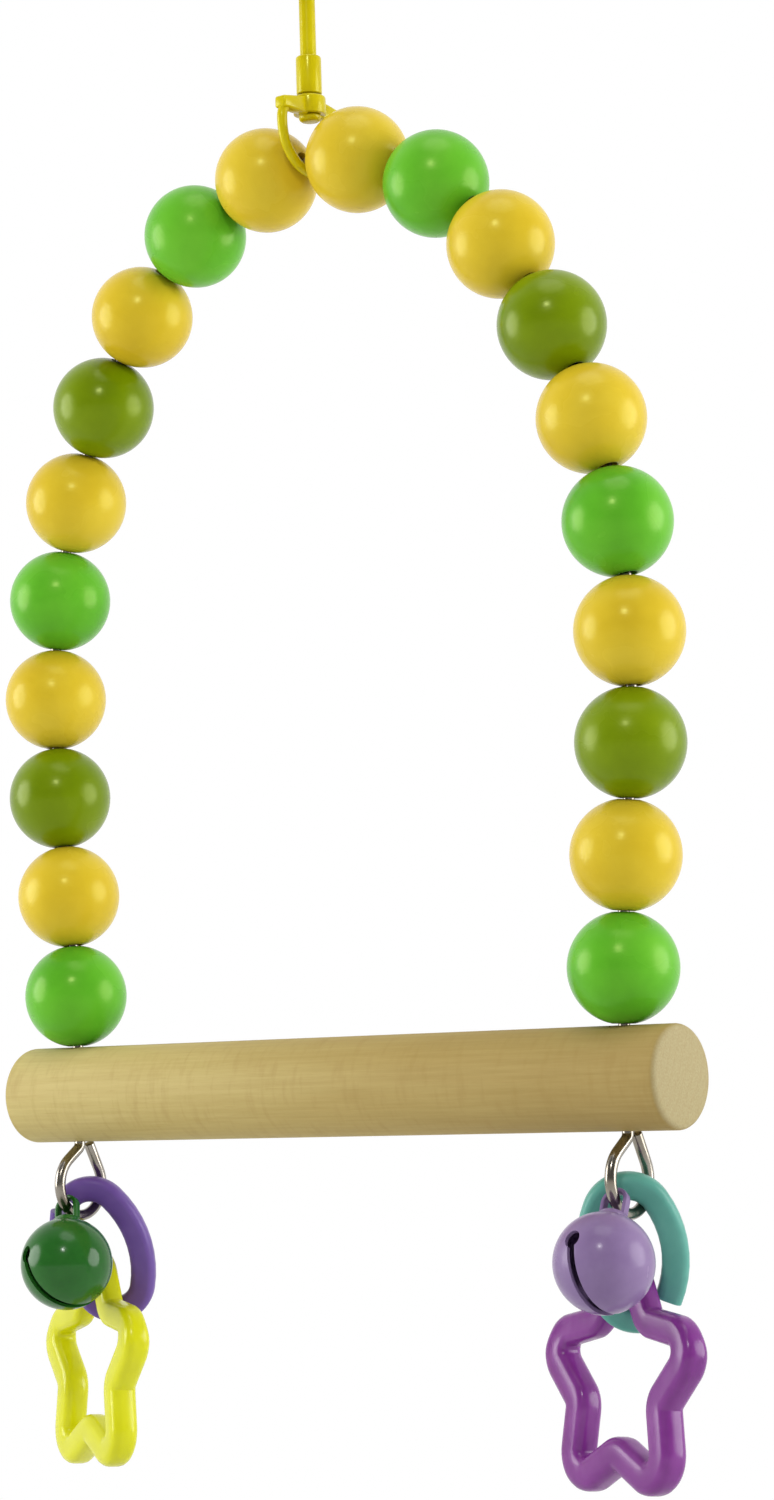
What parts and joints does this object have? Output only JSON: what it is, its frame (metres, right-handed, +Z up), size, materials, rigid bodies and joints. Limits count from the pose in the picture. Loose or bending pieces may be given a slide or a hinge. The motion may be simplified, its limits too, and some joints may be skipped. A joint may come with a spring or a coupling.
{
  "type": "bird swing",
  "caption": "Hanging bird swing: an arched wire strung with painted beads holds a round wooden perch under a swivel hook, with a bell, a link and a star hanging under each end.",
  "frame": {"origin": "seat of the hook: the inner top of its crook, where a cage bar bears, on the swivel axis", "axes": "+Z up along the swivel axis, +X along the perch to the viewer's right, +Y away from the front, the side the wire loops bend to first"},
  "size_m": [0.1691, 0.038, 0.3102],
  "materials": {
    "hook_paint": "gloss",
    "wire_metal": "polished nickel plate",
    "perch_wood": "sanded bare wood",
    "bead_green": "gloss paint",
    "bead_yellow": "gloss paint",
    "bead_olive": "gloss paint",
    "bell_green": "gloss",
    "bell_lavender": "gloss",
    "pea_metal": "plain steel",
    "link_purple": "satin",
    "link_teal": "satin",
    "star_yellow": "translucent",
    "star_purple": "translucent"
  },
  "bodies": {
    "hook": {"hook": "hook_paint", "swivel_barrel": "hook_paint", "swivel_pin": "hook_paint"},
    "eye": {"swivel_eye": "hook_paint"},
    "arch": {"arch_wire": "wire_metal", "perch": "perch_wood"},
    "bead_left_01": {"bead_left_01": "bead_green"},
    "bead_left_02": {"bead_left_02": "bead_yellow"},
    "bead_left_03": {"bead_left_03": "bead_olive"},
    "bead_left_04": {"bead_left_04": "bead_yellow"},
    "bead_left_05": {"bead_left_05": "bead_green"},
    "bead_left_06": {"bead_left_06": "bead_yellow"},
    "bead_left_07": {"bead_left_07": "bead_olive"},
    "bead_left_08": {"bead_left_08": "bead_yellow"},
    "bead_left_09": {"bead_left_09": "bead_green"},
    "bead_left_10": {"bead_left_10": "bead_yellow"},
    "bead_right_01": {"bead_right_01": "bead_green"},
    "bead_right_02": {"bead_right_02": "bead_yellow"},
    "bead_right_03": {"bead_right_03": "bead_olive"},
    "bead_right_04": {"bead_right_04": "bead_yellow"},
    "bead_right_05": {"bead_right_05": "bead_green"},
    "bead_right_06": {"bead_right_06": "bead_yellow"},
    "bead_right_07": {"bead_right_07": "bead_olive"},
    "bead_right_08": {"bead_right_08": "bead_yellow"},
    "bead_right_09": {"bead_right_09": "bead_green"},
    "bead_right_10": {"bead_right_10": "bead_yellow"},
    "bell_left": {"bell_shell_left": "bell_green", "bell_loop_left": "bell_green"},
    "pea_left": {"bell_pea_left": "pea_metal"},
    "link_left": {"link_left": "link_purple"},
    "star_left": {"star_left": "star_yellow"},
    "bell_right": {"bell_shell_right": "bell_lavender", "bell_loop_right": "bell_lavender"},
    "pea_right": {"bell_pea_right": "pea_metal"},
    "link_right": {"link_right": "link_teal"},
    "star_right": {"star_right": "star_purple"}
  },
  "joints": [
    {"name": "swivel", "type": "hinge", "parent": "hook", "child": "eye", "pos_m": [0, 0, -0.0394], "axis": [0, 0, 1], "continuous": true},
    {"name": "swing", "type": "hinge", "parent": "eye", "child": "arch", "pos_m": [0, 0, -0.0524], "axis": [1, 0, 0], "range_deg": [-60, 60]},
    {"name": "bead_left_01_spin", "type": "hinge", "parent": "arch", "child": "bead_left_01", "pos_m": [-0.06627, 0, -0.21279], "axis": [0.0354, 0, -0.9994], "continuous": true},
    {"name": "bead_left_02_spin", "type": "hinge", "parent": "arch", "child": "bead_left_02", "pos_m": [-0.06767, 0, -0.19254], "axis": [0.1003, 0, -0.995], "continuous": true},
    {"name": "bead_left_03_spin", "type": "hinge", "parent": "arch", "child": "bead_left_03", "pos_m": [-0.06953, 0, -0.17232], "axis": [0.0683, 0, -0.9977], "continuous": true},
    {"name": "bead_left_04_spin", "type": "hinge", "parent": "arch", "child": "bead_left_04", "pos_m": [-0.07015, 0, -0.15203], "axis": [-0.0135, 0, -0.9999], "continuous": true},
    {"name": "bead_left_05_spin", "type": "hinge", "parent": "arch", "child": "bead_left_05", "pos_m": [-0.0684, 0, -0.13181], "axis": [-0.1639, 0, -0.9865], "continuous": true},
    {"name": "bead_left_06_spin", "type": "hinge", "parent": "arch", "child": "bead_left_06", "pos_m": [-0.06347, 0, -0.11212], "axis": [-0.3204, 0, -0.9473], "continuous": true},
    {"name": "bead_left_07_spin", "type": "hinge", "parent": "arch", "child": "bead_left_07", "pos_m": [-0.05543, 0, -0.09348], "axis": [-0.4686, 0, -0.8834], "continuous": true},
    {"name": "bead_left_08_spin", "type": "hinge", "parent": "arch", "child": "bead_left_08", "pos_m": [-0.04449, 0, -0.07638], "axis": [-0.6078, 0, -0.7941], "continuous": true},
    {"name": "bead_left_09_spin", "type": "hinge", "parent": "arch", "child": "bead_left_09", "pos_m": [-0.02997, 0, -0.06219], "axis": [-0.8235, 0, -0.5674], "continuous": true},
    {"name": "bead_left_10_spin", "type": "hinge", "parent": "arch", "child": "bead_left_10", "pos_m": [-0.01135, 0, -0.0541], "axis": [-0.9766, 0, -0.2149], "continuous": true},
    {"name": "bead_right_01_spin", "type": "hinge", "parent": "arch", "child": "bead_right_01", "pos_m": [0.06627, 0, -0.21279], "axis": [-0.0354, 0, -0.9994], "continuous": true},
    {"name": "bead_right_02_spin", "type": "hinge", "parent": "arch", "child": "bead_right_02", "pos_m": [0.06767, 0, -0.19254], "axis": [-0.1003, 0, -0.995], "continuous": true},
    {"name": "bead_right_03_spin", "type": "hinge", "parent": "arch", "child": "bead_right_03", "pos_m": [0.06953, 0, -0.17232], "axis": [-0.0683, 0, -0.9977], "continuous": true},
    {"name": "bead_right_04_spin", "type": "hinge", "parent": "arch", "child": "bead_right_04", "pos_m": [0.07015, 0, -0.15203], "axis": [0.0135, 0, -0.9999], "continuous": true},
    {"name": "bead_right_05_spin", "type": "hinge", "parent": "arch", "child": "bead_right_05", "pos_m": [0.0684, 0, -0.13181], "axis": [0.1639, 0, -0.9865], "continuous": true},
    {"name": "bead_right_06_spin", "type": "hinge", "parent": "arch", "child": "bead_right_06", "pos_m": [0.06347, 0, -0.11212], "axis": [0.3204, 0, -0.9473], "continuous": true},
    {"name": "bead_right_07_spin", "type": "hinge", "parent": "arch", "child": "bead_right_07", "pos_m": [0.05543, 0, -0.09348], "axis": [0.4686, 0, -0.8834], "continuous": true},
    {"name": "bead_right_08_spin", "type": "hinge", "parent": "arch", "child": "bead_right_08", "pos_m": [0.04449, 0, -0.07638], "axis": [0.6078, 0, -0.7941], "continuous": true},
    {"name": "bead_right_09_spin", "type": "hinge", "parent": "arch", "child": "bead_right_09", "pos_m": [0.02997, 0, -0.06219], "axis": [0.8235, 0, -0.5674], "continuous": true},
    {"name": "bead_right_10_spin", "type": "hinge", "parent": "arch", "child": "bead_right_10", "pos_m": [0.01135, 0, -0.0541], "axis": [0.9766, 0, -0.2149], "continuous": true},
    {"name": "bell_left_swing", "type": "hinge", "parent": "arch", "child": "bell_left", "pos_m": [-0.066, -0.00416, -0.25516], "axis": [-0.7751, -0.6319, 0], "range_deg": [0, 20]},
    {"name": "pea_left_roll", "type": "hinge", "parent": "bell_left", "child": "pea_left", "pos_m": [-0.062, -0.00906, -0.26594], "axis": [-0.7751, -0.6319, 0], "range_deg": [-30, 30]},
    {"name": "link_left_swing", "type": "hinge", "parent": "arch", "child": "link_left", "pos_m": [-0.066, 0.00267, -0.25617], "axis": [0.8621, 0.5068, 0], "range_deg": [0, 6]},
    {"name": "star_left_swing", "type": "hinge", "parent": "link_left", "child": "star_left", "pos_m": [-0.06839, 0.0066, -0.27611], "axis": [0.8621, 0.5068, 0], "range_deg": [-10, 0]},
    {"name": "bell_right_swing", "type": "hinge", "parent": "arch", "child": "bell_right", "pos_m": [0.066, -0.00481, -0.25446], "axis": [-0.9735, -0.2285, 0], "range_deg": [0, 16]},
    {"name": "pea_right_roll", "type": "hinge", "parent": "bell_right", "child": "pea_right", "pos_m": [0.06759, -0.01158, -0.26485], "axis": [-0.9735, -0.2285, 0], "range_deg": [-30, 30]},
    {"name": "link_right_swing", "type": "hinge", "parent": "arch", "child": "link_right", "pos_m": [0.066, 0.00293, -0.25604], "axis": [0.8268, 0.5625, 0], "range_deg": [0, 5]},
    {"name": "star_right_swing", "type": "hinge", "parent": "link_right", "child": "star_right", "pos_m": [0.05958, 0.00648, -0.2754], "axis": [0.8268, 0.5625, 0], "range_deg": [-10, 0]}
  ]
}
